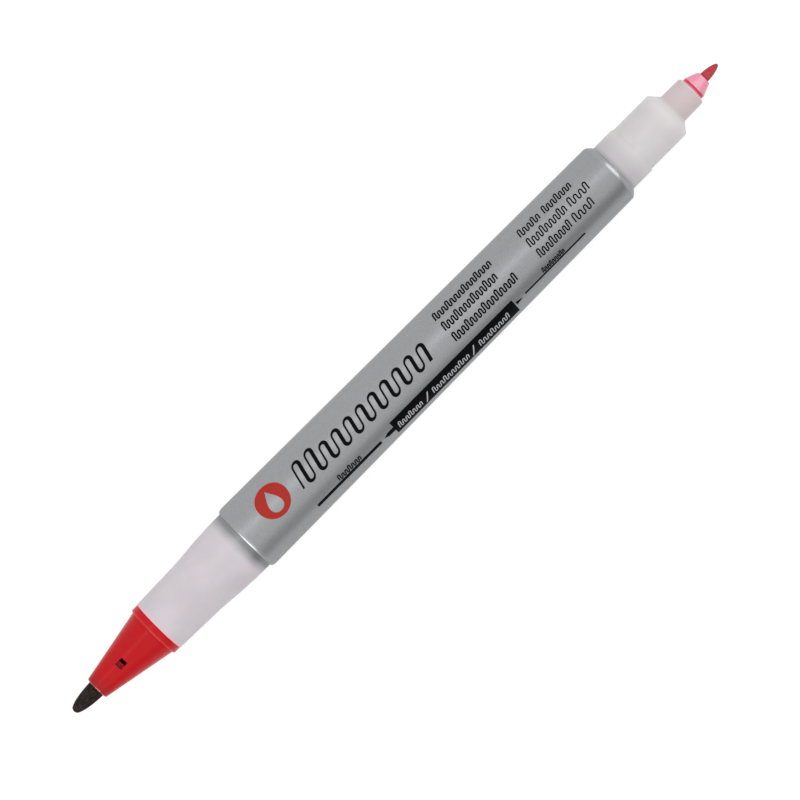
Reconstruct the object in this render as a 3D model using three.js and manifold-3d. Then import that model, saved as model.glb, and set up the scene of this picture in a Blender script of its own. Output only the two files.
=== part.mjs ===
// Twin-tip marker with both caps off: a bullet nib at one end and a fine nib at the other.
// Millimetres. The pen lies along X, bold tip at -X, fine tip at +X, with the vent recess up (+Z).
// The origin is under the middle of its length, on the plane that its lowest side touches.

import * as THREE from 'three';
import { mergeVertices } from 'three/addons/utils/BufferGeometryUtils.js';
import Module from 'manifold-3d';

const wasm = await Module();
wasm.setup();

// Roundness: flat sides round every turned form, a multiple of 4 so that each form is as wide and as high
// as its full diameter, and steps in each small rounded edge and in each nib's point
const sides = 40;
const edgeSteps = 2;
const pointSteps = 4;

// Fits between pieces, and how far a cut runs past what it cuts
const pressGap = 0.03;
const seatGap = 0.02;
const looseGap = 0.06;
const overrun = 0.5;

// Bold nib, a pressed fibre rod with a bullet point
const boldNibRadius = 1.38;
const boldNibReach = 4.76;
const boldTipRadius = 0.75;
const boldTipSweepDegrees = 65;
const boldNibTailChamfer = 0.4;
const boldOgiveReachShare = 0.365;
const boldOgiveRadiusShare = 0.934;

// Bold nib holder, the red cone with its flange, plug, grip ribs and vent recess
const boldLipWall = 0.46;
const boldLipLength = 1.4;
const boldLipRound = 0.12;
const boldConeLength = 11.72;
const boldFlangeLength = 1.19;
const boldFlangeStep = 0.38;
const boldFlangeInset = 0.06;
const boldFlangeRound = 0.12;
const chamberGap = 0.3;
const boldPlugLength = 13.5;
const boldPlugWall = 0.75;
const boldPlugChamfer = 0.35;
const boldGripRibs = 6;
const boldGripRibThickness = 0.55;
const ventRecessLength = 1.28;
const ventRecessWidth = 1.1;
const ventRecessSetback = 5.76;
const ventFloorDrop = 0.28;
const ventSlotLength = 0.48;
const airGrooves = 3;
const airGrooveWidth = 0.9;
const airGrooveDepth = 0.25;

// Snap bead on each plug, with a groove to match in the barrel
const beadHeight = 0.12;
const beadLength = 0.9;
const beadSetback = 5.5;

// Barrel, the coated body with its bare neck
const barrelBoldRadius = 5.68;
const barrelTaper = 0.58;
const barrelBodyLength = 76.66;
const boldShoulderRise = 0.34;
const boldShoulderLength = 0.95;
const boldSeatWidth = 0.12;
const neckRearRise = 0.02;
const neckRearLength = 2.44;
const neckCrestRise = 0.15;
const neckCrestLength = 3.16;
const neckKneeRise = 0.35;
const neckKneeLength = 4.19;
const neckFrontRise = 0.21;
const neckFrontLength = 8.16;
const neckWall = 0.9;
const neckMouthRound = 0.15;
const fineCornerLength = 1.12;
const fineCornerDrop = 0.8;
const fineCornerBow = 0.36;
const fineSeatWidth = 0.11;
const barrelMouthChamfer = 0.02;
const barrelRibs = 6;
const barrelRibThickness = 0.7;
const barrelRibHeight = 0.6;

// Fine section, the stepped insert at the fine end
const collarLength = 4.03;
const collarStep = 0.19;
const collarStepLength = 0.25;
const fineBodyLength = 7.08;
const fineBodyRound = 0.4;
const noseLength = 1.29;
const fineNeckWall = 0.69;
const fineNeckLength = 3.93;
const fineNeckFlare = 0.05;
const fineNeckRound = 0.45;
const fineSectionWall = 0.8;
const finePlugLength = 11.0;
const finePlugChamfer = 0.35;
const fineFins = 4;
const fineFinThickness = 0.6;
const fineFinReach = 1.0;

// Fine nib holder, the pink cone with its flange and tube
const fineTubeWall = 0.9;
const fineTubeLength = 8.5;
const fineTubeChamfer = 0.3;
const fineFlangeRise = 0.17;
const fineFlangeLength = 0.72;
const fineFlangeRound = 0.15;
const fineConeStep = 0.06;
const fineConeLength = 1.73;
const fineLipWall = 0.34;
const fineConeRound = 0.08;

// Fine nib, a thin fibre rod
const fineNibRadius = 0.8;
const fineNibReach = 2.88;
const fineTipRadius = 0.3;
const fineTipSweepDegrees = 62;
const fineNibTailChamfer = 0.25;
const fineOgiveReachShare = 0.383;
const fineOgiveRadiusShare = 0.955;

// Ink reservoir and the film round it
const wrapThickness = 0.12;
const boldNibEntry = 8.0;
const fineNibEntry = 7.5;

// Stations along the pen, from the bold tip to the fine tip
const penLength = boldNibReach + boldConeLength + boldFlangeLength + seatGap
  + neckFrontLength + neckKneeLength + neckCrestLength + neckRearLength + barrelBodyLength
  + collarLength + fineBodyLength + noseLength + fineNeckLength
  + seatGap + fineFlangeLength + fineConeLength + fineNibReach;
const boldTipX = -penLength / 2;
const boldHolderFrontX = boldTipX + boldNibReach;
const boldFlangeFrontX = boldHolderFrontX + boldConeLength;
const boldFlangeBackX = boldFlangeFrontX + boldFlangeLength;
const neckMouthX = boldFlangeBackX + seatGap;
const neckKneeX = neckMouthX + neckFrontLength;
const neckCrestX = neckKneeX + neckKneeLength;
const neckRearX = neckCrestX + neckCrestLength;
const boldSeatX = neckRearX + neckRearLength;
const fineSeatX = boldSeatX + barrelBodyLength;
const collarEndX = fineSeatX + collarLength;
const fineBodyEndX = collarEndX + fineBodyLength;
const noseEndX = fineBodyEndX + noseLength;
const fineNeckEndX = noseEndX + fineNeckLength;
const fineFlangeBackX = fineNeckEndX + seatGap;
const fineFlangeFrontX = fineFlangeBackX + fineFlangeLength;
const fineHolderFrontX = fineFlangeFrontX + fineConeLength;
const fineTipX = fineHolderFrontX + fineNibReach;
const boldPlugEndX = neckMouthX + boldPlugLength;
const boldBeadX = neckMouthX + beadSetback;
const finePlugEndX = fineSeatX - finePlugLength;
const fineBeadX = fineSeatX - beadSetback;
const fineTubeEndX = fineFlangeBackX - fineTubeLength;
const reservoirBoldX = boldPlugEndX + seatGap;
const reservoirFineX = finePlugEndX - seatGap;

// Barrel radii, from its widest ring down to both mouths
const barrelFineRadius = barrelBoldRadius - barrelTaper;
const boldShoulderRadius = barrelBoldRadius - boldShoulderRise;
const neckRootRadius = boldShoulderRadius - boldSeatWidth;
const neckRearRadius = neckRootRadius - neckRearRise;
const neckCrestRadius = neckRearRadius - neckCrestRise;
const neckKneeRadius = neckCrestRadius - neckKneeRise;
const neckMouthRadius = neckKneeRadius - neckFrontRise;
const neckBoreRadius = neckMouthRadius - neckWall;
const collarRadius = barrelFineRadius - fineCornerDrop - fineSeatWidth;
const barrelBoreRadius = collarRadius + pressGap;

// Radii of what goes into the barrel's ends and its bore
const boldPlugRadius = neckBoreRadius - pressGap;
const boldConeBaseRadius = neckMouthRadius - boldFlangeStep;
const boldFlangeRadius = neckMouthRadius - boldFlangeInset;
const boldChannelRadius = boldNibRadius + pressGap;
const boldConeFrontRadius = boldChannelRadius + boldLipWall;
const chamberFrontRadius = boldChannelRadius + chamberGap;
const chamberRearRadius = boldPlugRadius - boldPlugWall;
const wrapRadius = barrelBoreRadius - barrelRibHeight - looseGap;
const reservoirRadius = wrapRadius - wrapThickness - pressGap;
const fineBodyRadius = collarRadius - collarStep;
const fineChannelRadius = fineNibRadius + pressGap;
const fineTubeRadius = fineChannelRadius + fineTubeWall;
const fineNeckBoreRadius = fineTubeRadius + pressGap;
const fineNeckRadius = fineNeckBoreRadius + fineNeckWall;
const fineNeckRootRadius = fineNeckRadius + fineNeckFlare;
const fineFlangeRadius = fineTubeRadius + fineFlangeRise;
const fineConeFrontRadius = fineChannelRadius + fineLipWall;

// The widest ring touches the plane z = 0
const axisHeight = barrelBoldRadius;

// A turned form: a profile in (distance along X, radius) spun round the X axis.
// The profile runs towards +X on the outside, and back again where the form is a tube.
function turned(path, steps = edgeSteps) {
  const profile = path.getPoints(steps).map((p) => new THREE.Vector2(p.y, p.x));
  return new THREE.LatheGeometry(profile, sides).rotateZ(-Math.PI / 2);
}

// A closed mesh as a solid, and a solid as a mesh geometry
function solidOf(geometry) {
  const bare = geometry.clone();
  bare.deleteAttribute('normal');
  bare.deleteAttribute('uv');
  const merged = mergeVertices(bare);
  return new wasm.Manifold(new wasm.Mesh({
    numProp: 3,
    vertProperties: merged.attributes.position.array,
    triVerts: new Uint32Array(merged.index.array),
  }));
}

function geometryOf(solid) {
  const mesh = solid.getMesh();
  const geometry = new THREE.BufferGeometry();
  geometry.setAttribute('position', new THREE.BufferAttribute(mesh.vertProperties, mesh.numProp));
  geometry.setIndex(new THREE.BufferAttribute(mesh.triVerts, 1));
  geometry.computeVertexNormals();
  return geometry;
}

// A straight rib or fin: its outline in (distance along X, radius), as thick as stated, at a turn round X
function ribGeometry(outline, thickness, turn) {
  const shape = new THREE.Shape(outline.map(([x, r]) => new THREE.Vector2(x, r)));
  const geometry = new THREE.ExtrudeGeometry(shape, { depth: thickness, bevelEnabled: false });
  return geometry.translate(0, 0, -thickness / 2).rotateX(turn);
}

// The same rib repeated round the axis, the first one pointing to +Y
function withRibs(solid, count, outline, thickness) {
  const pitch = (2 * Math.PI) / count;
  let result = solid;
  for (let i = 0; i < count; i += 1) {
    result = result.add(solidOf(ribGeometry(outline, thickness, i * pitch)));
  }
  return result;
}

// A snap bead on a plug, or the groove for it in a bore, at a radius; direction is 1 towards +X, -1 back
function addBead(path, middleX, radius, direction) {
  path.lineTo(middleX - (direction * beadLength) / 2, radius);
  path.lineTo(middleX, radius + beadHeight);
  path.lineTo(middleX + (direction * beadLength) / 2, radius);
}

function boxBetween(low, high) {
  const size = high.map((value, i) => value - low[i]);
  const middle = high.map((value, i) => (value + low[i]) / 2);
  return new THREE.BoxGeometry(...size).translate(...middle);
}

// Finishes
const redPlastic = new THREE.MeshStandardMaterial({ color: 0xc2262a, roughness: 0.3, metalness: 0 });
const silverCoat = new THREE.MeshStandardMaterial({ color: 0xa3a7aa, roughness: 0.35, metalness: 0.6 });
const milkyPlastic = new THREE.MeshStandardMaterial({ color: 0xe4dfe3, roughness: 0.45, metalness: 0 });
const pinkPlastic = new THREE.MeshStandardMaterial({ color: 0xf2bccb, roughness: 0.3, metalness: 0 });
const darkFibre = new THREE.MeshStandardMaterial({ color: 0x2d2622, roughness: 0.9, metalness: 0 });
const redFibre = new THREE.MeshStandardMaterial({ color: 0xbe4650, roughness: 0.85, metalness: 0 });
const inkyFibre = new THREE.MeshStandardMaterial({ color: 0xa82028, roughness: 0.95, metalness: 0 });
const clearFilm = new THREE.MeshStandardMaterial({ color: 0xe8e8ec, roughness: 0.2, metalness: 0 });

// Bullet nib: a blunt round tip, an ogive up to full width at the holder, a long rod and a bevelled tail
function boldNibGeometry() {
  const tailX = reservoirBoldX + boldNibEntry;
  const tipEndAngle = Math.PI - THREE.MathUtils.degToRad(boldTipSweepDegrees);
  const path = new THREE.Path();
  path.moveTo(boldTipX, 0);
  path.absarc(boldTipX + boldTipRadius, 0, boldTipRadius, Math.PI, tipEndAngle, true);
  path.quadraticCurveTo(
    boldTipX + boldNibReach * boldOgiveReachShare,
    boldNibRadius * boldOgiveRadiusShare,
    boldHolderFrontX,
    boldNibRadius,
  );
  path.lineTo(tailX - boldNibTailChamfer, boldNibRadius);
  path.lineTo(tailX, boldNibRadius - boldNibTailChamfer);
  path.lineTo(tailX, 0);
  return turned(path, pointSteps);
}

// Red holder's turned shell: lip, cone, flange and plug outside, chamber and channel inside
function boldHolderShell() {
  const lipRound = Math.min(boldLipRound, boldLipWall / 2);
  const lipEndX = boldHolderFrontX + boldLipLength;
  const path = new THREE.Path();
  path.moveTo(boldHolderFrontX, boldChannelRadius);
  path.lineTo(boldHolderFrontX, boldConeFrontRadius - lipRound);
  path.absarc(
    boldHolderFrontX + lipRound,
    boldConeFrontRadius - lipRound,
    lipRound,
    Math.PI,
    Math.PI / 2,
    true,
  );
  path.lineTo(boldFlangeFrontX, boldConeBaseRadius);
  path.lineTo(boldFlangeFrontX, boldFlangeRadius - boldFlangeRound);
  path.absarc(
    boldFlangeFrontX + boldFlangeRound,
    boldFlangeRadius - boldFlangeRound,
    boldFlangeRound,
    Math.PI,
    Math.PI / 2,
    true,
  );
  path.lineTo(boldFlangeBackX, boldFlangeRadius);
  path.lineTo(boldFlangeBackX, boldPlugRadius);
  addBead(path, boldBeadX, boldPlugRadius, 1);
  path.lineTo(boldPlugEndX - boldPlugChamfer, boldPlugRadius);
  path.lineTo(boldPlugEndX, boldPlugRadius - boldPlugChamfer);
  path.lineTo(boldPlugEndX, chamberRearRadius);
  path.lineTo(boldFlangeFrontX, chamberRearRadius);
  path.lineTo(lipEndX, chamberFrontRadius);
  path.lineTo(lipEndX, boldChannelRadius);
  path.lineTo(boldHolderFrontX, boldChannelRadius);
  return solidOf(turned(path));
}

// The vent recess has a floor parallel to the nib, so it deepens as the cone widens, and a slot at its
// flange end opens it to the chamber round the nib
function withVent(holder) {
  const ventEndX = boldFlangeFrontX - ventRecessSetback;
  const ventStartX = ventEndX - ventRecessLength;
  const coneRadiusAtStart = THREE.MathUtils.mapLinear(
    ventStartX, boldHolderFrontX, boldFlangeFrontX, boldConeFrontRadius, boldConeBaseRadius,
  );
  const recess = boxBetween(
    [ventStartX, -ventRecessWidth / 2, coneRadiusAtStart - ventFloorDrop],
    [ventEndX, ventRecessWidth / 2, boldConeBaseRadius + overrun],
  );
  const slot = boxBetween(
    [ventEndX - ventSlotLength, -ventRecessWidth / 2, boldNibRadius],
    [ventEndX, ventRecessWidth / 2, boldConeBaseRadius + overrun],
  );
  return holder.subtract(solidOf(recess)).subtract(solidOf(slot));
}

// Red holder: the shell, ribs that grip the nib and stop the reservoir, the vent, and grooves along the
// plug that let air out as it is pressed home
function boldHolderGeometry() {
  const lipEndX = boldHolderFrontX + boldLipLength;
  const ribRoot = Math.min(boldPlugWall, boldLipWall) / 2;
  let holder = withRibs(boldHolderShell(), boldGripRibs, [
    [lipEndX, boldChannelRadius],
    [boldPlugEndX, boldChannelRadius],
    [boldPlugEndX, chamberRearRadius + ribRoot],
    [boldFlangeFrontX, chamberRearRadius + ribRoot],
    [lipEndX, chamberFrontRadius + ribRoot],
  ], boldGripRibThickness);
  holder = withVent(holder);
  for (let i = 0; i < airGrooves; i += 1) {
    const groove = boxBetween(
      [boldFlangeBackX, -airGrooveWidth / 2, boldPlugRadius - airGrooveDepth],
      [boldPlugEndX + overrun, airGrooveWidth / 2, boldPlugRadius + overrun],
    );
    holder = holder.subtract(solidOf(groove.rotateX((i * 2 * Math.PI) / airGrooves)));
  }
  return geometryOf(holder);
}

// Barrel: bare neck that swells towards the shoulder, tapering body with a rounded fine end, and a straight
// bore with ribs that centre the reservoir
function barrelGeometry() {
  const boreStepX = boldPlugEndX - Math.abs(barrelBoreRadius - neckBoreRadius);
  const path = new THREE.Path();
  path.moveTo(neckMouthX, neckBoreRadius);
  path.lineTo(neckMouthX, neckMouthRadius - neckMouthRound);
  path.absarc(
    neckMouthX + neckMouthRound,
    neckMouthRadius - neckMouthRound,
    neckMouthRound,
    Math.PI,
    Math.PI / 2,
    true,
  );
  path.lineTo(neckKneeX, neckKneeRadius);
  path.lineTo(neckCrestX, neckCrestRadius);
  path.lineTo(neckRearX, neckRearRadius);
  path.lineTo(boldSeatX, neckRootRadius);
  path.lineTo(boldSeatX, boldShoulderRadius);
  path.absellipse(
    boldSeatX + boldShoulderLength,
    boldShoulderRadius,
    boldShoulderLength,
    boldShoulderRise,
    Math.PI,
    Math.PI / 2,
    true,
  );
  path.lineTo(fineSeatX - fineCornerLength, barrelFineRadius);
  path.quadraticCurveTo(
    fineSeatX - fineCornerLength * (1 - fineCornerBow),
    barrelFineRadius,
    fineSeatX,
    barrelFineRadius - fineCornerDrop,
  );
  path.lineTo(fineSeatX, barrelBoreRadius + barrelMouthChamfer);
  path.lineTo(fineSeatX - barrelMouthChamfer, barrelBoreRadius);
  addBead(path, fineBeadX, barrelBoreRadius, -1);
  path.lineTo(boldPlugEndX, barrelBoreRadius);
  path.lineTo(boreStepX, neckBoreRadius);
  addBead(path, boldBeadX, neckBoreRadius, -1);
  path.lineTo(neckMouthX, neckBoreRadius);
  const shell = solidOf(turned(path));

  const ribInnerRadius = wrapRadius + looseGap;
  const ribOuterRadius = barrelBoreRadius + barrelRibHeight / 2;
  return geometryOf(withRibs(shell, barrelRibs, [
    [reservoirBoldX, ribInnerRadius],
    [reservoirFineX, ribInnerRadius],
    [reservoirFineX, ribOuterRadius],
    [reservoirBoldX, ribOuterRadius],
  ], barrelRibThickness));
}

// Fine section: plug and collar, body, nose and neck in one shell, with fins inside that guide the nib
// and stop the reservoir
function fineSectionGeometry() {
  const plugBoreRadius = collarRadius - fineSectionWall;
  const bodyBoreRadius = fineBodyRadius - fineSectionWall;
  const bodyBoreEndX = fineBodyEndX - fineSectionWall;
  const collarStepX = collarEndX - collarStepLength;
  const roundEndRadius = THREE.MathUtils.mapLinear(
    fineBodyRound, 0, noseLength, fineBodyRadius, fineNeckRootRadius,
  );
  const path = new THREE.Path();
  path.moveTo(finePlugEndX, plugBoreRadius);
  path.lineTo(finePlugEndX, collarRadius - finePlugChamfer);
  path.lineTo(finePlugEndX + finePlugChamfer, collarRadius);
  addBead(path, fineBeadX, collarRadius, 1);
  path.lineTo(collarStepX, collarRadius);
  path.lineTo(collarEndX, fineBodyRadius);
  path.lineTo(fineBodyEndX - fineBodyRound, fineBodyRadius);
  path.quadraticCurveTo(fineBodyEndX, fineBodyRadius, fineBodyEndX + fineBodyRound, roundEndRadius);
  path.lineTo(noseEndX, fineNeckRootRadius);
  path.lineTo(fineNeckEndX - fineNeckRound, fineNeckRadius);
  path.absarc(
    fineNeckEndX - fineNeckRound,
    fineNeckRadius - fineNeckRound,
    fineNeckRound,
    Math.PI / 2,
    0,
    true,
  );
  path.lineTo(fineNeckEndX, fineNeckBoreRadius);
  path.lineTo(bodyBoreEndX + bodyBoreRadius - fineNeckBoreRadius, fineNeckBoreRadius);
  path.lineTo(bodyBoreEndX, bodyBoreRadius);
  path.lineTo(collarStepX, bodyBoreRadius);
  path.lineTo(collarStepX, plugBoreRadius);
  path.lineTo(finePlugEndX, plugBoreRadius);
  const shell = solidOf(turned(path));

  const finInnerRadius = fineChannelRadius + looseGap;
  const finOuterRadius = plugBoreRadius + fineSectionWall / 2;
  const finEndX = fineSeatX + fineFinReach;
  return geometryOf(withRibs(shell, fineFins, [
    [finePlugEndX, finInnerRadius],
    [finEndX, finInnerRadius],
    [finEndX, finOuterRadius],
    [finePlugEndX, finOuterRadius],
  ], fineFinThickness));
}

// Pink holder: cone, flange and tube with a straight channel for the nib
function fineHolderGeometry() {
  const path = new THREE.Path();
  path.moveTo(fineTubeEndX, fineChannelRadius);
  path.lineTo(fineTubeEndX, fineTubeRadius - fineTubeChamfer);
  path.lineTo(fineTubeEndX + fineTubeChamfer, fineTubeRadius);
  path.lineTo(fineFlangeBackX, fineTubeRadius);
  path.lineTo(fineFlangeBackX, fineFlangeRadius - fineFlangeRound);
  path.absarc(
    fineFlangeBackX + fineFlangeRound,
    fineFlangeRadius - fineFlangeRound,
    fineFlangeRound,
    Math.PI,
    Math.PI / 2,
    true,
  );
  path.lineTo(fineFlangeFrontX - fineFlangeRound, fineFlangeRadius);
  path.lineTo(fineFlangeFrontX, fineFlangeRadius - fineConeStep);
  path.lineTo(fineHolderFrontX - fineConeRound, fineConeFrontRadius);
  path.lineTo(fineHolderFrontX, fineConeFrontRadius - fineConeRound);
  path.lineTo(fineHolderFrontX, fineChannelRadius);
  path.lineTo(fineTubeEndX, fineChannelRadius);
  return turned(path);
}

// Fine nib: bevelled tail in the reservoir, long rod, and a short ogive to a small round tip
function fineNibGeometry() {
  const tailX = reservoirFineX - fineNibEntry;
  const tipCentreX = fineTipX - fineTipRadius;
  const tipStartAngle = THREE.MathUtils.degToRad(fineTipSweepDegrees);
  const path = new THREE.Path();
  path.moveTo(tailX, 0);
  path.lineTo(tailX, fineNibRadius - fineNibTailChamfer);
  path.lineTo(tailX + fineNibTailChamfer, fineNibRadius);
  path.lineTo(fineHolderFrontX, fineNibRadius);
  path.quadraticCurveTo(
    fineTipX - fineNibReach * fineOgiveReachShare,
    fineNibRadius * fineOgiveRadiusShare,
    tipCentreX + fineTipRadius * Math.cos(tipStartAngle),
    fineTipRadius * Math.sin(tipStartAngle),
  );
  path.absarc(tipCentreX, 0, fineTipRadius, tipStartAngle, 0, true);
  return turned(path, pointSteps);
}

// Reservoir: a fibre rod with a channel in each end where a nib is pushed in
function reservoirGeometry() {
  const boldSocketEndX = reservoirBoldX + boldNibEntry + seatGap;
  const fineSocketEndX = reservoirFineX - fineNibEntry - seatGap;
  const path = new THREE.Path();
  path.moveTo(boldSocketEndX, 0);
  path.lineTo(boldSocketEndX, boldChannelRadius);
  path.lineTo(reservoirBoldX, boldChannelRadius);
  path.lineTo(reservoirBoldX, reservoirRadius);
  path.lineTo(reservoirFineX, reservoirRadius);
  path.lineTo(reservoirFineX, fineChannelRadius);
  path.lineTo(fineSocketEndX, fineChannelRadius);
  path.lineTo(fineSocketEndX, 0);
  return turned(path);
}

// Film sleeve round the reservoir
function wrapGeometry() {
  const wrapInnerRadius = wrapRadius - wrapThickness;
  const path = new THREE.Path();
  path.moveTo(reservoirBoldX, wrapInnerRadius);
  path.lineTo(reservoirBoldX, wrapRadius);
  path.lineTo(reservoirFineX, wrapRadius);
  path.lineTo(reservoirFineX, wrapInnerRadius);
  path.lineTo(reservoirBoldX, wrapInnerRadius);
  return turned(path);
}

// The pen lies on its side, its axis raised so that it rests on the plane z = 0
const pen = new THREE.Group();
pen.position.z = axisHeight;

function addPiece(name, geometry, material) {
  const mesh = new THREE.Mesh(geometry, material);
  mesh.name = name;
  pen.add(mesh);
}

addPiece('bold_nib', boldNibGeometry(), darkFibre);
addPiece('bold_nib_holder', boldHolderGeometry(), redPlastic);
addPiece('barrel', barrelGeometry(), silverCoat);
addPiece('fine_section', fineSectionGeometry(), milkyPlastic);
addPiece('fine_nib_holder', fineHolderGeometry(), pinkPlastic);
addPiece('fine_nib', fineNibGeometry(), redFibre);
addPiece('ink_reservoir', reservoirGeometry(), inkyFibre);
addPiece('reservoir_wrap', wrapGeometry(), clearFilm);

export default pen;
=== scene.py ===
import math

import bmesh
import bpy
from mathutils import Matrix, Vector


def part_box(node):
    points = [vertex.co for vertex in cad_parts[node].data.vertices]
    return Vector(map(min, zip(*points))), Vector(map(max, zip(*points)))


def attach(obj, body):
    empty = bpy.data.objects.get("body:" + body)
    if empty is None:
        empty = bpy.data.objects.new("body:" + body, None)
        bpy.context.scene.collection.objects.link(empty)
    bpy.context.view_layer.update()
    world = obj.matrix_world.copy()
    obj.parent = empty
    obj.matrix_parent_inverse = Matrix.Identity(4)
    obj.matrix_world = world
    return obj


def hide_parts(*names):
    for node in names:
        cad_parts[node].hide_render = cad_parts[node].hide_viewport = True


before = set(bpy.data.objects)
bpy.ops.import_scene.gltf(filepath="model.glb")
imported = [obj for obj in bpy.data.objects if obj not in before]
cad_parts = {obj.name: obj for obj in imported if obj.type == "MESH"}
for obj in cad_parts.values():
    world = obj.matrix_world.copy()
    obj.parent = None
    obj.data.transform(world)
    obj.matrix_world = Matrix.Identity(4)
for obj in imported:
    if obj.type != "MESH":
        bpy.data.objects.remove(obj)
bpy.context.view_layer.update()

# Camera: straight above the pen, turned so that the pen runs from the lower left to the upper right.
# The long lens at 0.69 m gives the photo's flat look, with 117 mm across the picture at the pen's axis.
camera = bpy.data.objects.new("camera", bpy.data.cameras.new("camera"))
bpy.context.scene.collection.objects.link(camera)
bpy.context.scene.camera = camera
camera.data.sensor_width = 36
camera.data.lens = 211.5
camera.data.clip_start = 0.01
camera.location = (-0.000828, -0.001719, 0.69568)
camera.rotation_euler = (0, 0, math.radians(-45.163))

# World: white where it is seen, in gloss and through clear plastic too, and a plain soft light a little
# under white where it only lights the pen.
world = bpy.data.worlds.new("studio")
bpy.context.scene.world = world
world.use_nodes = True
sky = world.node_tree
sky.nodes.clear()


def calculate(tree, operation, one, other):
    """A sum, product or the like of two outputs in a shader tree. Gives the output."""
    node = tree.nodes.new("ShaderNodeMath")
    node.operation = operation
    tree.links.new(one, node.inputs[0])
    tree.links.new(other, node.inputs[1])
    return node.outputs[0]


def seen_rays(tree):
    """A mask: 1 for rays that show a surface, straight, in gloss or through clear plastic, else 0."""
    rays = tree.nodes.new("ShaderNodeLightPath").outputs
    seen = calculate(tree, "MAXIMUM", rays["Is Camera Ray"], rays["Is Glossy Ray"])
    return calculate(tree, "MAXIMUM", seen, rays["Is Transmission Ray"])


dome = sky.nodes.new("ShaderNodeBackground")
backdrop = sky.nodes.new("ShaderNodeBackground")
for glow, strength in ((dome, 0.92), (backdrop, 1.0)):
    glow.inputs["Color"].default_value = (1, 1, 1, 1)
    glow.inputs["Strength"].default_value = strength
either = sky.nodes.new("ShaderNodeMixShader")
sky.links.new(seen_rays(sky), either.inputs["Fac"])
sky.links.new(dome.outputs[0], either.inputs[1])
sky.links.new(backdrop.outputs[0], either.inputs[2])
sky_out = sky.nodes.new("ShaderNodeOutputWorld")
sky.links.new(either.outputs[0], sky_out.inputs["Surface"])

# Lamps: a long softbox overhead, a little to the +Y side, puts the soft bright line along the silver. A
# small one low beyond each end, which only glossy surfaces show, catches the shoulder, corner and nose.
def softbox(name, place, size, power):
    """An area lamp turned towards the pen. The first size is level, the second runs up the lamp's slope."""
    light = bpy.data.lights.new(name, "AREA")
    light.shape = "RECTANGLE"
    light.size, light.size_y = size
    light.energy = power
    lamp = bpy.data.objects.new(name, light)
    lamp.location = place
    lamp.rotation_euler = (Vector(place) * -1).to_track_quat("-Z", "Y").to_euler()
    bpy.context.scene.collection.objects.link(lamp)
    return lamp


softbox("softbox_overhead", (0, 0.15, 0.5), (1.3, 0.12), 0.56)
softbox("softbox_bold_end", (-0.5, -0.11, 0.26), (0.5, 0.16), 2.6).visible_diffuse = False
softbox("softbox_fine_end", (0.52, 0.0, 0.1), (0.32, 0.2), 0.54).visible_diffuse = False

# Floor: a white table under the pen. It lights the pen as matt white, and where it is seen it is white with
# only a trace of the pen's shadow.
table_half = 2
table_corners = [(-table_half, -table_half, 0), (table_half, -table_half, 0)]
table_corners += [(table_half, table_half, 0), (-table_half, table_half, 0)]
floor_mesh = bpy.data.meshes.new("floor")
floor_mesh.from_pydata(table_corners, [], [(0, 1, 2, 3)])
floor = bpy.data.objects.new("floor", floor_mesh)
bpy.context.scene.collection.objects.link(floor)
floor_white = bpy.data.materials.new("floor_white")
floor_white.use_nodes = True
floor_tree = floor_white.node_tree
lighting = floor_tree.nodes["Principled BSDF"]
showing = floor_tree.nodes.new("ShaderNodeBsdfPrincipled")
for paint, grey in ((lighting, 0.62), (showing, 0.22)):
    paint.inputs["Base Color"].default_value = (grey, grey, grey, 1)
    paint.inputs["Roughness"].default_value = 1
    paint.inputs["Specular IOR Level"].default_value = 0
showing.inputs["Emission Color"].default_value = (1, 1, 1, 1)
showing.inputs["Emission Strength"].default_value = 0.86
floor_mix = floor_tree.nodes.new("ShaderNodeMixShader")
floor_tree.links.new(seen_rays(floor_tree), floor_mix.inputs["Fac"])
floor_tree.links.new(lighting.outputs[0], floor_mix.inputs[1])
floor_tree.links.new(showing.outputs[0], floor_mix.inputs[2])
floor_tree.links.new(floor_mix.outputs[0], floor_tree.nodes["Material Output"].inputs["Surface"])
floor_mesh.materials.append(floor_white)

# Cards: two dark boards low on the -Y side, the blacker one by the fine end. Their reflection is the dark
# band along that flank of the silver.
def card(name, x0, x1, y, z0, z1, glow):
    """An upright board, seen only in reflections, with a little light of its own."""
    mesh = bpy.data.meshes.new(name)
    mesh.from_pydata([(x0, y, z0), (x1, y, z0), (x1, y, z1), (x0, y, z1)], [], [(0, 1, 2, 3)])
    board = bpy.data.objects.new(name, mesh)
    bpy.context.scene.collection.objects.link(board)
    board.visible_camera = False
    board.visible_diffuse = False
    board.visible_shadow = False
    board_black = bpy.data.materials.new(name)
    board_black.use_nodes = True
    board_shader = board_black.node_tree.nodes["Principled BSDF"]
    board_shader.inputs["Base Color"].default_value = (0.02, 0.02, 0.02, 1)
    board_shader.inputs["Roughness"].default_value = 0.9
    board_shader.inputs["Emission Color"].default_value = (1, 1, 1, 1)
    board_shader.inputs["Emission Strength"].default_value = glow
    mesh.materials.append(board_black)


card("card_bold_side", -0.5, 0.0, -0.3, 0.012, 0.23, 0.35)
card("card_fine_side", 0.0, 0.5, -0.3, 0.0, 0.24, 0.08)

# Bold nib: a rod of pressed fibre, cut to a bullet point and nearly black with ink, with the fibres' fine
# grain along it and a little wear on the point. It is pushed through the red holder into the reservoir.
# Sizes here and below are in millimetres: x along the pen, r out from its axis.
MM = 0.001
AXIS = (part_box("barrel")[0].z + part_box("barrel")[1].z) / 2


def arc(x, r, radius, start, stop, steps):
    """Points on a circle about (x, r), from one angle to another in degrees, 0 towards +X."""
    turns = [math.radians(start + (stop - start) * i / steps) for i in range(steps + 1)]
    return [(x + radius * math.cos(t), r + radius * math.sin(t)) for t in turns]


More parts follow.
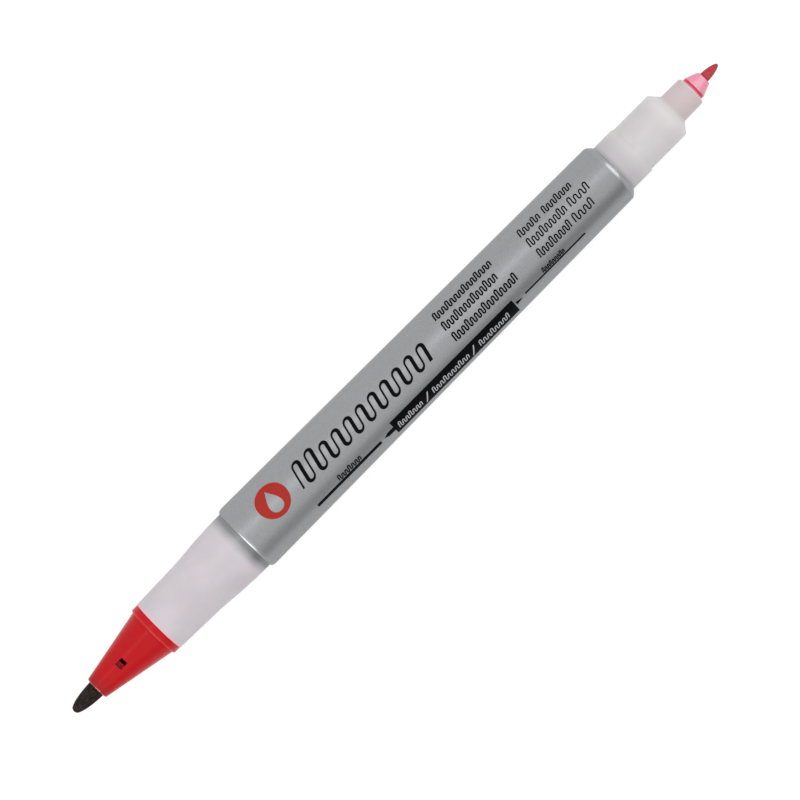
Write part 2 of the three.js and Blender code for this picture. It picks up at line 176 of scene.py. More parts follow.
def curve(start, control, end, steps):
    """Points on a quadratic curve between two points, without its first point."""
    points = []
    for i in range(1, steps + 1):
        t = i / steps
        weights = ((1 - t) ** 2, 2 * t * (1 - t), t * t)
        points.append(tuple(sum(w * p[k] for w, p in zip(weights, (start, control, end))) for k in (0, 1)))
    return points


def closed_mesh(name, shape):
    """The bmesh as a mesh, with every face turned outwards."""
    bmesh.ops.recalc_face_normals(shape, faces=shape.faces[:])
    mesh = bpy.data.meshes.new(name)
    shape.to_mesh(mesh)
    shape.free()
    return mesh


def spun(name, outline, around=144):
    """A closed mesh: an outline (x, r) spun about the pen's axis. An outline that starts on the axis ends
    on it too, and any other is closed into a tube's wall."""
    on_axis = 1e-6
    shape = bmesh.new()
    rings = []
    for x, r in outline:
        if r < on_axis:
            rings.append([shape.verts.new((x * MM, 0, AXIS))] * around)
            continue
        turns = [2 * math.pi * i / around for i in range(around)]
        rings.append([
            shape.verts.new((x * MM, r * MM * math.sin(t), AXIS + r * MM * math.cos(t))) for t in turns
        ])
    pairs = list(zip(rings, rings[1:]))
    if outline[0][1] > on_axis:
        pairs.append((rings[-1], rings[0]))
    for one, other in pairs:
        for i in range(around):
            corners = [one[i - 1], one[i], other[i], other[i - 1]]
            corners = [c for k, c in enumerate(corners) if c not in corners[:k]]
            if len(corners) > 2:
                shape.faces.new(corners)
    return closed_mesh(name, shape)


def shown_piece(name, mesh, *nodes):
    """An object for the mesh that rides on the pen and stands for the CAD nodes named."""
    sharpest_smooth = math.radians(32)
    mesh.shade_smooth()
    mesh.set_sharp_from_angle(angle=sharpest_smooth)
    piece = bpy.data.objects.new(name, mesh)
    bpy.context.scene.collection.objects.link(piece)
    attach(piece, "root")
    if nodes:
        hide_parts(*nodes)
    return piece


def surface(name, base, roughness, **more):
    """A new material: the material, its node tree and its Principled shader with constants set."""
    made = bpy.data.materials.new(name)
    made.use_nodes = True
    shader = made.node_tree.nodes["Principled BSDF"]
    shader.inputs["Base Color"].default_value = (*base, 1)
    shader.inputs["Roughness"].default_value = roughness
    for socket, value in more.items():
        shader.inputs[socket.replace("_", " ")].default_value = value
    return made, made.node_tree, shader


def new_group(name, sockets_in, socket_out):
    """An empty node group with number sockets, and its input and output nodes."""
    group = bpy.data.node_groups.new(name, "ShaderNodeTree")
    for socket, value in sockets_in:
        made = group.interface.new_socket(socket, in_out="INPUT", socket_type="NodeSocketFloat")
        made.default_value = value
    group.interface.new_socket(socket_out, in_out="OUTPUT", socket_type="NodeSocketFloat")
    return group, group.nodes.new("NodeGroupInput"), group.nodes.new("NodeGroupOutput")


# along: 0 before one station and 1 past another, measured along the pen in metres
along, along_in, along_out = new_group("along", [("From", 0.0), ("To", 1.0)], "Share")
along_place = along.nodes.new("ShaderNodeTexCoord")
along_split = along.nodes.new("ShaderNodeSeparateXYZ")
along_range = along.nodes.new("ShaderNodeMapRange")
along_range.interpolation_type = "SMOOTHSTEP"
along.links.new(along_place.outputs["Object"], along_split.inputs[0])
along.links.new(along_split.outputs["X"], along_range.inputs["Value"])
along.links.new(along_in.outputs["From"], along_range.inputs["From Min"])
along.links.new(along_in.outputs["To"], along_range.inputs["From Max"])
along.links.new(along_range.outputs["Result"], along_out.inputs["Share"])

# grain: fine streaks along the pen, as fibres or drawn plastic have; Length below 1 draws them out
grain, grain_in, grain_out = new_group("grain", [("Scale", 4000.0), ("Length", 0.2)], "Value")
grain_place = grain.nodes.new("ShaderNodeTexCoord")
grain_stretch = grain.nodes.new("ShaderNodeCombineXYZ")
grain_stretch.inputs["Y"].default_value = 1
grain_stretch.inputs["Z"].default_value = 1
grain_scale = grain.nodes.new("ShaderNodeVectorMath")
grain_scale.operation = "MULTIPLY"
grain_noise = grain.nodes.new("ShaderNodeTexNoise")
grain_noise.inputs["Detail"].default_value = 3
grain.links.new(grain_in.outputs["Length"], grain_stretch.inputs["X"])
grain.links.new(grain_place.outputs["Object"], grain_scale.inputs[0])
grain.links.new(grain_stretch.outputs[0], grain_scale.inputs[1])
grain.links.new(grain_scale.outputs[0], grain_noise.inputs["Vector"])
grain.links.new(grain_in.outputs["Scale"], grain_noise.inputs["Scale"])
grain.links.new(grain_noise.outputs["Fac"], grain_out.inputs["Value"])


def use_group(tree, group, **values):
    """The group placed in a material's tree with its inputs set. Gives its output."""
    node = tree.nodes.new("ShaderNodeGroup")
    node.node_tree = group
    for socket, value in values.items():
        node.inputs[socket].default_value = value
    return node.outputs[0]


def fade(tree, start, stop):
    """A mask along the pen: 0 up to one station and 1 past the other, with a smooth change between."""
    return use_group(tree, along, From=start * MM, To=stop * MM)


def mix(tree, share, one, other):
    """A colour between two: share is an output, one and other are colours or outputs. Gives the output."""
    node = tree.nodes.new("ShaderNodeMix")
    node.data_type = "RGBA"
    tree.links.new(share, node.inputs["Factor"])
    for socket, value in ((node.inputs[6], one), (node.inputs[7], other)):
        if isinstance(value, tuple):
            socket.default_value = (*value, 1)
        else:
            tree.links.new(value, socket)
    return node.outputs[2]


def limits(tree, value, low, high, from_low=0.0, from_high=1.0):
    """A value spread from one range to another, kept inside it."""
    node = tree.nodes.new("ShaderNodeMapRange")
    node.inputs["From Min"].default_value = from_low
    node.inputs["From Max"].default_value = from_high
    node.inputs["To Min"].default_value = low
    node.inputs["To Max"].default_value = high
    tree.links.new(value, node.inputs["Value"])
    return node.outputs["Result"]


def mottled(tree, noise, spread, one, other):
    """A colour that wanders from one to the other as a noise runs through the spread, a low and a high."""
    return mix(tree, limits(tree, noise, 0, 1, *spread), one, other)


def relief(tree, shader, height, depth):
    """Fine relief on a shader's normal, its depth in metres."""
    node = tree.nodes.new("ShaderNodeBump")
    node.inputs["Distance"].default_value = depth
    tree.links.new(height, node.inputs["Height"])
    tree.links.new(node.outputs["Normal"], shader.inputs["Normal"])


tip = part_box("bold_nib")[0].x / MM
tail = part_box("bold_nib")[1].x / MM
rod_radius = 1.38
rod_start = tip + 4.76
point_radius = 0.75
belly = (tip + 1.737, 1.289)
tail_chamfer = 0.4
bullet = arc(tip + point_radius, 0, point_radius, 180, 115, 10)
bold_nib = shown_piece("bold_nib_fibre", spun("bold_nib_fibre", [
    *bullet,
    *curve(bullet[-1], belly, (rod_start, rod_radius), 14),
    (tail - tail_chamfer, rod_radius),
    (tail, rod_radius - tail_chamfer),
    (tail, 0),
]), "bold_nib")
dark_fibre, tree, shader = surface("dark_fibre", (0.02, 0.014, 0.011), 0.75, Specular_IOR_Level=0.12)
fibres = use_group(tree, grain, Scale=5200.0, Length=0.3)
fibre_black = mottled(tree, fibres, (0.42, 0.66), (0.009, 0.006, 0.005), (0.036, 0.025, 0.021))
worn = fade(tree, tip + 1.0, tip)
tree.links.new(mix(tree, worn, fibre_black, (0.02, 0.012, 0.01)), shader.inputs["Base Color"])
relief(tree, shader, fibres, 0.00006)
bold_nib.data.materials.append(dark_fibre)

# Bold nib holder: one glossy red moulding, a cone with a polished lip, a flange and a long plug with a snap
# bead and three air grooves, pressed into the barrel's neck. A sunk vent on top lets air into the chamber
# round the nib.
def rounded(points, steps=6):
    """An outline in which a corner given as (x, r, round) is replaced by an arc of that radius. A long side
    gets a point close to the arc, so that it shades as a straight side up to there."""
    long_side = 4
    close = 1.4
    outline = []
    for i, point in enumerate(points):
        if len(point) == 2:
            outline.append(point)
            continue
        corner = Vector(point[:2])
        before = Vector(points[i - 1][:2]) - corner
        after = Vector(points[(i + 1) % len(points)][:2]) - corner
        half = before.angle(after) / 2
        reach = point[2] / math.tan(half)
        centre = corner + (before.normalized() + after.normalized()).normalized() * point[2] / math.sin(half)
        first = corner + before.normalized() * reach - centre
        last = corner + after.normalized() * reach - centre
        start = math.degrees(math.atan2(first.y, first.x))
        sweep = math.degrees(math.atan2(first.cross(last), first.dot(last)))
        if before.length > long_side * reach:
            outline.append(tuple(corner + before.normalized() * reach * close))
        outline += arc(centre.x, centre.y, point[2], start, start + sweep, steps)
        if after.length > long_side * reach:
            outline.append(tuple(corner + after.normalized() * reach * close))
    return outline


def ribs(name, outline, thickness, count, turn=0.0):
    """A closed mesh of straight ribs round the axis, from their outline (x, r) and thickness."""
    shape = bmesh.new()
    for i in range(count):
        spin = Matrix.Rotation(turn + 2 * math.pi * i / count, 3, "X")
        sides = []
        for side in (-thickness / 2, thickness / 2):
            points = [spin @ Vector((x, side, r)) * MM + Vector((0, 0, AXIS)) for x, r in outline]
            sides.append([shape.verts.new(p) for p in points])
        shape.faces.new(sides[0])
        shape.faces.new(sides[1][::-1])
        for k in range(len(outline)):
            shape.faces.new([sides[0][k - 1], sides[1][k - 1], sides[1][k], sides[0][k]])
    return closed_mesh(name, shape)


def block(x0, x1, r0, r1):
    """The outline (x, r) of a straight rib or slot."""
    return [(x0, r0), (x1, r0), (x1, r1), (x0, r1)]


def combined(mesh, tool_mesh, operation):
    """The mesh with another joined to it or cut from it, as a new closed mesh."""
    target = bpy.data.objects.new(mesh.name, mesh)
    tool = bpy.data.objects.new("tool", tool_mesh)
    bpy.context.scene.collection.objects.link(target)
    bpy.context.scene.collection.objects.link(tool)
    step = target.modifiers.new("combine", "BOOLEAN")
    step.operation = operation
    step.solver = "EXACT"
    step.object = tool
    evaluated = target.evaluated_get(bpy.context.evaluated_depsgraph_get())
    made = bpy.data.meshes.new_from_object(evaluated)
    made.name = mesh.name
    bpy.data.objects.remove(target)
    bpy.data.objects.remove(tool)
    return made


# stations and radii of the cone, the flange, the plug with its bead, and the hole and chamber inside
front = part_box("bold_nib_holder")[0].x / MM
plug_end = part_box("bold_nib_holder")[1].x / MM
cone_length = 11.72
flange = front + cone_length
flange_back = flange + 1.19
mouth = flange + 1.21
lip_radius = 1.87
root_radius = 4.11
flange_radius = 4.43
plug_radius = 3.56
plug_chamfer = 0.35
bead = 5.5
bead_half = 0.45
bead_height = 0.12
nib_hole = 1.41
chamber_front = 1.71
chamber_radius = 2.81
chamber_start = front + 1.4
rib_root = 0.23


def cone_radius(x):
    """The red cone's outer radius at a station."""
    return lip_radius + (x - front) / cone_length * (root_radius - lip_radius)


holder = spun("bold_holder_moulding", rounded([
    (front, nib_hole),
    (front, lip_radius, 0.2),
    (flange, root_radius, 0.07),
    (flange, flange_radius, 0.13),
    (flange_back, flange_radius, 0.02),
    (flange_back, plug_radius),
    (mouth + bead - bead_half, plug_radius),
    (mouth + bead, plug_radius + bead_height, 0.2),
    (mouth + bead + bead_half, plug_radius),
    (plug_end - plug_chamfer, plug_radius),
    (plug_end, plug_radius - plug_chamfer),
    (plug_end, chamber_radius),
    (flange, chamber_radius),
    (chamber_start, chamber_front),
    (chamber_start, nib_hole),
]))
holder = combined(holder, ribs("grip_ribs", [
    (chamber_start, nib_hole), (plug_end, nib_hole), (plug_end, chamber_radius + rib_root),
    (flange, chamber_radius + rib_root), (chamber_start, chamber_front + rib_root),
], 0.55, 6, math.pi / 6), "UNION")
vent_start = flange - 7.1
vent_end = flange - 5.72
vent_width = 1.2
vent_floor = cone_radius(vent_start) - 0.28
slot_start = vent_end - 0.58
slot_floor = 1.38
over_cone = 4.6
holder = combined(holder, ribs("vent_recess", [
    (vent_start, vent_floor), (slot_start, vent_floor), (slot_start, slot_floor),
    (vent_end, slot_floor), (vent_end, over_cone), (vent_start, over_cone),
], vent_width, 1), "DIFFERENCE")
air_grooves = ribs("air_grooves", block(flange_back, plug_end + 0.5, 3.31, 4.1), 0.9, 3)
holder = combined(holder, air_grooves, "DIFFERENCE")
bold_holder = shown_piece("bold_holder_moulding", holder, "bold_nib_holder")
red_plastic, tree, shader = surface(
    "red_plastic", (0.525, 0.006, 0.009), 0.16,
    Specular_IOR_Level=0.15, Subsurface_Weight=0.08, Subsurface_Scale=0.0008,
)
# the cone is a darker, browner red towards its front lip
past_darker_front = fade(tree, front, front + 2.6)
cone_red = mix(tree, past_darker_front, (0.4, 0.014, 0.015), (0.525, 0.006, 0.009))
# painted highlight: the flange's front edge is a lighter red, as a rounded edge catching the light
past_edge_highlight = fade(tree, flange + 0.15, flange + 0.35)
flange_red = mix(tree, past_edge_highlight, (0.66, 0.03, 0.035), (0.55, 0.007, 0.01))
# painted shade: the flange's rear edge, next to the neck's mouth, is a darker red
rear_shade = fade(tree, mouth - 0.3, mouth - 0.05)
flange_red = mix(tree, rear_shade, flange_red, (0.42, 0.012, 0.018))
at_flange = fade(tree, flange - 0.08, flange + 0.02)
tree.links.new(mix(tree, at_flange, cone_red, flange_red), shader.inputs["Base Color"])
moulding = use_group(tree, grain, Scale=900.0, Length=0.6)
drawn_skin = limits(tree, moulding, 0.2, 0.27, 0.3, 0.7)
off_lip = limits(tree, fade(tree, front + 0.15, front + 0.3), 0.7, 1)
tree.links.new(calculate(tree, "MULTIPLY", drawn_skin, off_lip), shader.inputs["Roughness"])
# painted shade: the sunk vent's floor is a darker red, standing in for the shade of a deeper recess
vent_shade_red, tree, shader = surface("vent_shade_red", (0.24, 0.008, 0.01), 0.5, Specular_IOR_Level=0.1)
moulding = use_group(tree, grain, Scale=900.0, Length=0.6)
shaded_red = mottled(tree, moulding, (0.3, 0.7), (0.18, 0.006, 0.008), (0.3, 0.01, 0.012))
tree.links.new(shaded_red, shader.inputs["Base Color"])
lip_red, tree, shader = surface("lip_red", (0.4, 0.014, 0.015), 0.16, Specular_IOR_Level=1.0)
for red in (red_plastic, vent_shade_red, lip_red):
    bold_holder.data.materials.append(red)
# the recess takes the darker red of painted shade, and the front face's outer ring and round edge the
# polished one
lip_depth = 0.17
lip_inside = 1.65
vent_top = 3.3
near = 0.01
for face in bold_holder.data.polygons:
    x = face.center.x / MM
    height = face.center.z - AXIS
    radius = math.hypot(face.center.y, height)
    sunk = (vent_floor - near) * MM < height < vent_top * MM and radius < (cone_radius(x) - 2 * near) * MM
    if sunk and vent_start - near < x < vent_end + near and abs(face.center.y) < (vent_width / 2 + near) * MM:
        face.material_index = 1
    if x < front + lip_depth and radius > lip_inside * MM:
        face.material_index = 2

# Barrel: one long milky moulding with a silver coating sprayed over its tapering body, glossier on the fine
# end's round corner. The spray fades out over the bare neck. Six low ribs in the bore centre the reservoir,
# and grooves take the plugs' beads.
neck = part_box("barrel")[0].x / MM
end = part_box("barrel")[1].x / MM
seat = neck + 17.95
shoulder_length = 0.95
shoulder_end = seat + shoulder_length
corner = end - 1.12
step_radius = 5.34
body_radius = 5.68
taper = 0.58
fine_radius = body_radius - taper
neck_bore = 3.59
body_bore = 4.22


def smooth(knots, steps):
    """Points on a smooth line through the knots, which never dips or rises between them (monotone cubic)."""
    hair = 1e-9
    slopes = [(b[1] - a[1]) / (b[0] - a[0]) for a, b in zip(knots, knots[1:])]
    bends = [slopes[0]] + [
        2 * a * b / (a + b) if a * b > 0 else 0 for a, b in zip(slopes, slopes[1:])
    ] + [slopes[-1]]
    points = []
    for i in range(steps + 1):
        x = knots[0][0] + (knots[-1][0] - knots[0][0]) * i / steps
        k = max(j for j in range(len(knots) - 1) if knots[j][0] <= x + hair)
        (x0, r0), (x1, r1) = knots[k], knots[k + 1]
        t = (x - x0) / (x1 - x0)
        points.append((x, (
            (2 * t ** 3 - 3 * t ** 2 + 1) * r0 + (t ** 3 - 2 * t ** 2 + t) * (x1 - x0) * bends[k]
            + (3 * t ** 2 - 2 * t ** 3) * r1 + (t ** 3 - t ** 2) * (x1 - x0) * bends[k + 1]
        )))
    return points


shoulder = []
for degrees in range(0, 91, 10):
    turn = math.radians(degrees)
    rise = (body_radius - step_radius) * math.sin(turn)
    shoulder.append((shoulder_end - shoulder_length * math.cos(turn), step_radius + rise))
swell = (
    (neck + 8.16, 4.7), (neck + 9.2, 4.78), (neck + 10.9, 4.92), (neck + 12.35, 5.05), (neck + 13.6, 5.1),
    (neck + 15.51, 5.2), (seat, 5.22),
)
barrel_mesh = spun("barrel_moulding", rounded([
    (neck, neck_bore),
    (neck, 4.49, 0.04),
    *smooth(swell, 40),
    *shoulder,
    *curve((corner, fine_radius), (end - 0.717, fine_radius), (end, 4.3), 12),
    (end, 4.24),
    (end - 0.02, body_bore),
    (end - bead + bead_half, body_bore),
    (end - bead, body_bore + bead_height),
    (end - bead - bead_half, body_bore),
    (neck + 13.5, body_bore),
    (neck + 12.87, neck_bore),
    (neck + bead + bead_half, neck_bore),
    (neck + bead, neck_bore + bead_height),
    (neck + bead - bead_half, neck_bore),
]), 180)
bore_ribs = ribs("bore_ribs", block(neck + 13.52, end - 11.02, 3.62, body_bore + 0.3), 0.7, 6, math.pi / 6)
barrel = shown_piece("barrel_moulding", combined(barrel_mesh, bore_ribs, "UNION"), "barrel")
silver_coat, tree, shader = surface(
    "silver_coat", (0.315, 0.32, 0.33), 0.38, Specular_IOR_Level=0.25, Specular_Tint=(0.7, 0.7, 0.7, 1),
    Subsurface_Weight=0.12, Subsurface_Scale=0.001,
)
spray = limits(tree, use_group(tree, grain, Scale=5000.0, Length=1.0), -0.15, 0.15)
cover = calculate(tree, "ADD", fade(tree, seat - 2.42, seat - 0.37), spray)
coat = limits(tree, cover, 0, 1, 0.05, 0.95)
flakes = use_group(tree, grain, Scale=9000.0, Length=1.0)
metal = mottled(tree, flakes, (0.35, 0.65), (0.28, 0.287, 0.298), (0.362, 0.369, 0.382))
# painted shade: the coat is darker on the neck just in front of the shoulder's step
foot = calculate(tree, "MULTIPLY", fade(tree, seat - 1.1, seat - 0.4), fade(tree, seat + 0.06, seat - 0.02))
metal = mix(tree, foot, metal, (0.25, 0.256, 0.265))
clouds = use_group(tree, grain, Scale=260.0, Length=0.7)
milky = mottled(tree, clouds, (0.35, 0.65), (0.597, 0.552, 0.588), (0.641, 0.595, 0.635))
# painted highlight: a light pink line round the neck's mouth
rim_highlight = fade(tree, neck + 0.4, neck + 0.14)
milky = mix(tree, rim_highlight, milky, (0.92, 0.5, 0.55))
tree.links.new(mix(tree, coat, milky, metal), shader.inputs["Base Color"])
tree.links.new(limits(tree, coat, 0, 0.65), shader.inputs["Metallic"])
off_corner = limits(tree, fade(tree, end - 0.9, end - 0.4), 1, 0.6)
satin = calculate(tree, "MULTIPLY", limits(tree, coat, 0.42, 0.38), off_corner)
tree.links.new(satin, shader.inputs["Roughness"])
barrel.data.materials.append(silver_coat)

# Print on the silver: plain marks in thin layers of ink, printed on the coated barrel. They are two rules as
# broad as each nib writes, a black bar with pale marks in it, brushed and scribbled lines, and a drop in a
# disc. Each shape is placed in millimetres along the pen and round it from the top line, +Y positive.
def on_barrel(name, shapes, thickness=0.012):
    """A closed mesh of thin layers wrapped on the barrel, one for each flat outline. It is cut into narrow
    strips to follow the barrel's round."""
    strip = 0.25
    lowest = -6.5
    highest = 4.0
    same_point = 1e-4
    sliver = 0.002
    slab = 1
    sunk_under = 0.008
    flat = bmesh.new()
    for outline in shapes:
        face = flat.faces.new([flat.verts.new((x, y, 0)) for x, y in outline])
        face.normal_update()
        if face.normal.z < 0:
            face.normal_flip()
    bmesh.ops.remove_doubles(flat, verts=flat.verts[:], dist=same_point)
    bmesh.ops.triangulate(flat, faces=flat.faces[:])
    for k in range(round(lowest / strip), round(highest / strip) + 1):
        all_of_it = flat.verts[:] + flat.edges[:] + flat.faces[:]
        bmesh.ops.bisect_plane(flat, geom=all_of_it, plane_co=(0, k * strip, 0), plane_no=(0, 1, 0))
    bmesh.ops.remove_doubles(flat, verts=flat.verts[:], dist=sliver)
    bmesh.ops.solidify(flat, geom=flat.faces[:], thickness=slab)
    low = min(v.co.z for v in flat.verts)
    for v in flat.verts:
        r = body_radius - (v.co.x - shoulder_end) / (corner - shoulder_end) * taper
        turn = v.co.y / r
        r += thickness if v.co.z > low + slab / 2 else -sunk_under
        v.co = (v.co.x * MM, r * MM * math.sin(turn), AXIS + r * MM * math.cos(turn))
    return closed_mesh(name, flat)


def bar(x0, x1, y, width):
    """A straight bar with square ends."""
    return [(x0, y - width / 2), (x1, y - width / 2), (x1, y + width / 2), (x0, y + width / 2)]


def brushed_line(x0, x1, foot, heights, thick, thin, lean=0.24, steps=8):
    """A line that runs up and down with round turns, thin on the way up and thick on the way down, as a row
    of four-sided pieces. There is one height for each rise, all from the same foot."""
    gap = (x1 - x0) / (2 * len(heights) - 1)
    turn = gap / 2
    line = [(x0, foot, thin)]
    for k, height in enumerate(heights):
        x = x0 + 2 * k * gap
        for i in range(steps + 1):
            a = math.pi * (1 - i / steps)
            share = i / steps
            line.append((
                x + turn + turn * math.cos(a), foot + height - turn + turn * math.sin(a),
                thin + (thick - thin) * share,
            ))
        if k + 1 < len(heights):
            for i in range(steps + 1):
                a = math.pi * (1 + i / steps)
                share = 1 - i / steps
                line.append((
                    x + gap + turn + turn * math.cos(a), foot + turn + turn * math.sin(a),
                    thin + (thick - thin) * share,
                ))
    line.append((x0 + (2 * len(heights) - 1) * gap, foot, thick))
    sides = ([], [])
    for i, (x, y, width) in enumerate(line):
        before, after = line[max(i - 1, 0)], line[min(i + 1, len(line) - 1)]
        across = Vector((before[1] - after[1], after[0] - before[0])).normalized() * width / 2
        for side, sign in zip(sides, (1, -1)):
            px, py = x + sign * across.x, y + sign * across.y
            side.append((px + lean * (py - foot), py))
    return [[sides[0][i - 1], sides[0][i], sides[1][i], sides[1][i - 1]] for i in range(1, len(line))]


def scribble(x0, x1, y, height, stroke, lean=0.12):
    """A fine brushed line about a middle height, in which two rises of every seven stand taller."""
    pitch = height * 0.84
    tall = 1.35
    count = max(2, round((x1 - x0) / pitch))
    heights = [height * (tall if k % 7 in (0, 3) else 1) for k in range(count)]
    return brushed_line(x0, x1, y - height / 2, heights, stroke, stroke, lean, 5)


def drop_in_disc(x, y, radius, steps=64):
    """A disc with a bare ink drop in it, as a ring of four-sided pieces."""
    half_width = 1.62
    half_height = 1.9
    lowered = 0.05
    inner, outer = [], []
    for i in range(steps):
        u = 2 * math.pi * (i + 0.5) / steps
        across = half_width * math.sin(u) * math.sin(u / 2) ** 1.5
        up = half_height * math.cos(u) - lowered
        turn = math.atan2(up, across)
        inner.append((x + across, y + up))
        outer.append((x + radius * math.cos(turn), y + radius * math.sin(turn)))
    return [[outer[i - 1], outer[i], inner[i], inner[i - 1]] for i in range(steps)]


def print_ink(name, base, roughness, gloss_range, **more):
    """A material for printed ink, whose fine grain takes its roughness through the range."""
    made, tree, shader = surface(name, base, roughness, **more)
    ink_grain = use_group(tree, grain, Scale=7000.0, Length=1.0)
    tree.links.new(limits(tree, ink_grain, *gloss_range, 0.3, 0.7), shader.inputs["Roughness"])
    return made


black_shapes = [
    bar(-20.21, -7.07, -4.67, 0.6),
    [(-6.37, -4.61), (-5.6, -5.0), (-4.33, -5.03), (-4.33, -4.2), (-5.6, -4.22)],
    bar(-4.33, 20.92, -4.65, 2.98),
    [(21.17, -4.62), (22.34, -4.36), (22.34, -4.24), (21.17, -3.98)],
    bar(23.12, 35.54, -4.13, 0.3),
    *scribble(-15.3, -10.9, -3.85, 0.7, 0.22),
    *scribble(27.2, 31.5, -3.52, 0.6, 0.18),
    *brushed_line(-19.8, 6.5, -0.95, [3.85] * 2 + [3.0] * 9, 0.6, 0.3),
]
row_height = 0.98
middle_stroke = 0.255
fine_end_stroke = 0.225
for x0, x1, y in ((11.1, 22.5, 3.3), (11.1, 21.7, 1.12), (11.1, 23.7, -1.06)):
    black_shapes += scribble(x0, x1, y, row_height, middle_stroke)
for x0, x1, y in (
    (28.45, 32.4, 3.05), (33.4, 38.8, 3.05), (28.45, 35.9, 0.92), (36.8, 40.5, 0.92),
    (28.45, 34.8, -1.22), (35.7, 39.4, -1.22),
):
    black_shapes += scribble(x0, x1, y, row_height, fine_end_stroke)
black_marks = shown_piece("black_marks", on_barrel("black_marks", black_shapes))
black_print = print_ink("black_print", (0.0035, 0.0035, 0.005), 0.5, (0.44, 0.58), Specular_IOR_Level=0.03)
black_marks.data.materials.append(black_print)
red_marks = shown_piece("red_marks", on_barrel("red_marks", drop_in_disc(-24.32, 1.16, 2.73)))
red_print = print_ink("red_print", (0.41, 0.031, 0.021), 0.5, (0.44, 0.58), Specular_IOR_Level=0.08)
red_marks.data.materials.append(red_print)
pale_line = -4.95
pale_height = 0.85
pale_stroke = 0.155
pale_shapes = [
    *scribble(-3.55, 1.1, pale_line, pale_height, pale_stroke),
    [(1.7, -5.75), (1.93, -5.75), (2.93, -4.0), (2.7, -4.0)],
    *scribble(3.5, 10.8, pale_line, pale_height, pale_stroke),
    [(11.35, -5.75), (11.58, -5.75), (12.5, -4.0), (12.27, -4.0)],
    *scribble(13.2, 19.1, pale_line, pale_height, pale_stroke),
]
pale_marks = shown_piece("pale_marks", on_barrel("pale_marks", pale_shapes, 0.02))
pale_print = print_ink("pale_print", (0.45, 0.46, 0.47), 0.45, (0.4, 0.52))
pale_marks.data.materials.append(pale_print)

# Fine section: a milky stepped insert whose plug sits in the barrel's open end: collar, body, short nose and
# narrow neck, hollow, with four fins inside that guide the nib and stop the reservoir.
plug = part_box("fine_section")[0].x / MM
neck_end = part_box("fine_section")[1].x / MM
collar = end + 3.78
collar_radius = 4.19
section_radius = 4.0
inside_radius = 3.2
plug_bore = 3.39
neck_hole = 1.76
section = spun("fine_section_moulding", rounded([
    (plug, plug_bore),
    (plug, collar_radius - plug_chamfer),
    (plug + plug_chamfer, collar_radius),
    (end - bead - bead_half, collar_radius),
    (end - bead, collar_radius + bead_height, 0.2),
    (end - bead + bead_half, collar_radius),
    (collar, collar_radius, 0.06),
    (collar + 0.25, section_radius, 0.06),
    (end + 11.11, section_radius, 0.5),
    (end + 12.4, 2.5, 0.25),
    (neck_end, 2.45, 0.45),
    (neck_end, neck_hole),
    (end + 11.69, neck_hole),
    (end + 10.25, inside_radius),
    (collar, inside_radius),
    (collar, plug_bore),
]))
nib_fins = ribs("nib_fins", block(plug, end + 1.0, 0.89, 3.79), 0.6, 4)
fine_section = shown_piece("fine_section_moulding", combined(section, nib_fins, "UNION"), "fine_section")
milky_plastic, tree, shader = surface(
    "milky_plastic", (0.64, 0.6, 0.6), 0.4,
    Specular_IOR_Level=0.3, Subsurface_Weight=0.12, Subsurface_Scale=0.001,
)
clouds = use_group(tree, grain, Scale=260.0, Length=0.7)
milky = mottled(tree, clouds, (0.35, 0.65), (0.623, 0.595, 0.604), (0.665, 0.642, 0.651))
# its tones: paler on the nose, blushed by the ink inside the neck, greyer towards the collar, painted shade
# at the joint with the barrel's end, and at the mouth pink where the holder shines through, with a painted
# highlight on the rim
for start, stop, tone in (
    (end + 8.5, end + 11.6, (0.72, 0.685, 0.695)),
    (end + 11.6, end + 12.6, (0.62, 0.53, 0.53)),
    (end + 4.0, end + 0.8, (0.545, 0.52, 0.535)),
    (end + 0.9, end - 0.1, (0.4, 0.39, 0.41)),
    (neck_end - 0.4, neck_end - 0.15, (0.85, 0.56, 0.59)),
):
    milky = mix(tree, fade(tree, start, stop), milky, tone)
tree.links.new(milky, shader.inputs["Base Color"])
skin = use_group(tree, grain, Scale=1500.0, Length=0.5)
tree.links.new(limits(tree, skin, 0.36, 0.46, 0.3, 0.7), shader.inputs["Roughness"])
fine_section.data.materials.append(milky_plastic)

# Fine nib holder: a small translucent pink moulding, a cone with a flange on a tube that is pressed into the
# fine section's neck. Ink in the tube behind shows as a dark line at the flange.
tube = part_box("fine_nib_holder")[0].x / MM
cone_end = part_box("fine_nib_holder")[1].x / MM
back = cone_end - 2.45
rim_front = back + 0.72
rim_radius = 1.9
tube_radius = 1.73
tube_chamfer = 0.3
fine_hole = 0.83
pink_cone = shown_piece("fine_holder_moulding", spun("fine_holder_moulding", rounded([
    (tube, fine_hole),
    (tube, tube_radius - tube_chamfer),
    (tube + tube_chamfer, tube_radius),
    (back, tube_radius),
    (back, rim_radius, 0.15),
    (rim_front, rim_radius, 0.04),
    (rim_front, 1.84),
    (cone_end, 1.17, 0.08),
    (cone_end, fine_hole),
])), "fine_nib_holder")
pink_plastic, tree, shader = surface(
    "pink_plastic", (0.8, 0.45, 0.52), 0.34,
    Specular_IOR_Level=0.3, Subsurface_Weight=0.3, Subsurface_Scale=0.0008,
)
# painted highlight: the cone is paler where it faces the view and a deeper pink towards its outline
facing = tree.nodes.new("ShaderNodeLayerWeight")
facing.inputs["Blend"].default_value = 0.5
edge = limits(tree, facing.outputs["Facing"], 0, 1, 0.03, 0.22)
pink = mix(tree, edge, (0.9, 0.52, 0.61), (0.86, 0.32, 0.43))
line = calculate(tree, "MULTIPLY", fade(tree, back + 0.06, back + 0.2), fade(tree, back + 0.57, back + 0.43))
tree.links.new(mix(tree, line, pink, (0.62, 0.045, 0.095)), shader.inputs["Base Color"])
pink_cone.data.materials.append(pink_plastic)
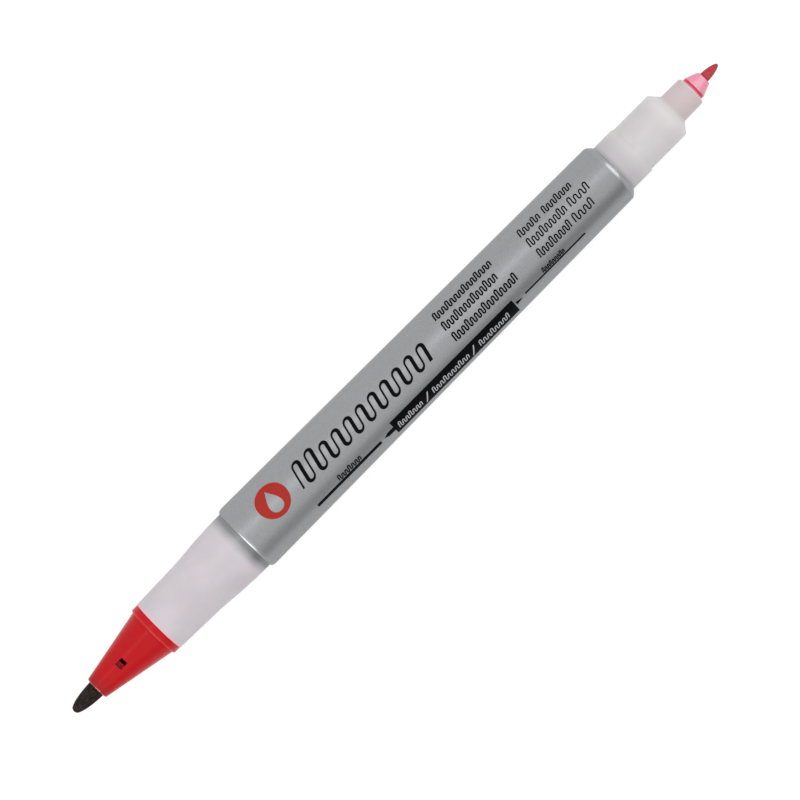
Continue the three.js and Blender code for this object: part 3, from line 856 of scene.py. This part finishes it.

# Fine nib: a thin fibre rod with a short bullet point, soaked with red ink, darker at its point.
# It runs back through the pink holder and the fins into the reservoir.
fine_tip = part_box("fine_nib")[1].x / MM
fine_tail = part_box("fine_nib")[0].x / MM
strand_radius = 0.8
fine_chamfer = 0.25
fine_belly = (fine_tip - 1.103, 0.764)
fine_point = arc(fine_tip - 0.3, 0, 0.3, 62, 0, 8)
fine_nib = shown_piece("fine_nib_fibre", spun("fine_nib_fibre", [
    (fine_tail, 0),
    (fine_tail, strand_radius - fine_chamfer),
    (fine_tail + fine_chamfer, strand_radius),
    (cone_end, strand_radius),
    *curve((cone_end, strand_radius), fine_belly, fine_point[0], 12),
    *fine_point[1:-1],
    (fine_tip, 0),
], 96), "fine_nib")
red_fibre, tree, shader = surface("red_fibre", (0.5, 0.07, 0.08), 0.7, Specular_IOR_Level=0.2)
strands = use_group(tree, grain, Scale=7000.0, Length=0.3)
pressed = mottled(tree, strands, (0.35, 0.65), (0.39, 0.028, 0.042), (0.58, 0.072, 0.088))
inked = fade(tree, fine_tip - 1.0, fine_tip)
tree.links.new(mix(tree, inked, pressed, (0.4, 0.035, 0.05)), shader.inputs["Base Color"])
relief(tree, shader, strands, 0.00004)
fine_nib.data.materials.append(red_fibre)

# Reservoir and its film: a bonded fibre rod soaked with ink in a thin clear sleeve, inside the barrel. Both
# keep the CAD meshes, because nothing of them shows outside.
inky_fibre, tree, shader = surface("inky_fibre", (0.39, 0.014, 0.021), 0.9)
bundle = use_group(tree, grain, Scale=3000.0, Length=0.1)
soaked = mottled(tree, bundle, (0.35, 0.65), (0.3, 0.01, 0.015), (0.48, 0.02, 0.03))
tree.links.new(soaked, shader.inputs["Base Color"])
relief(tree, shader, bundle, 0.0001)
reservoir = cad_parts["ink_reservoir"]
reservoir.data.materials.clear()
reservoir.data.materials.append(inky_fibre)
clear_film, tree, shader = surface("clear_film", (0.85, 0.85, 0.88), 0.15, Transmission_Weight=0.85)
relief(tree, shader, use_group(tree, grain, Scale=700.0, Length=0.3), 0.00003)
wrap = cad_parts["reservoir_wrap"]
wrap.data.materials.clear()
wrap.data.materials.append(clear_film)

bpy.context.scene.view_settings.view_transform = "Standard"
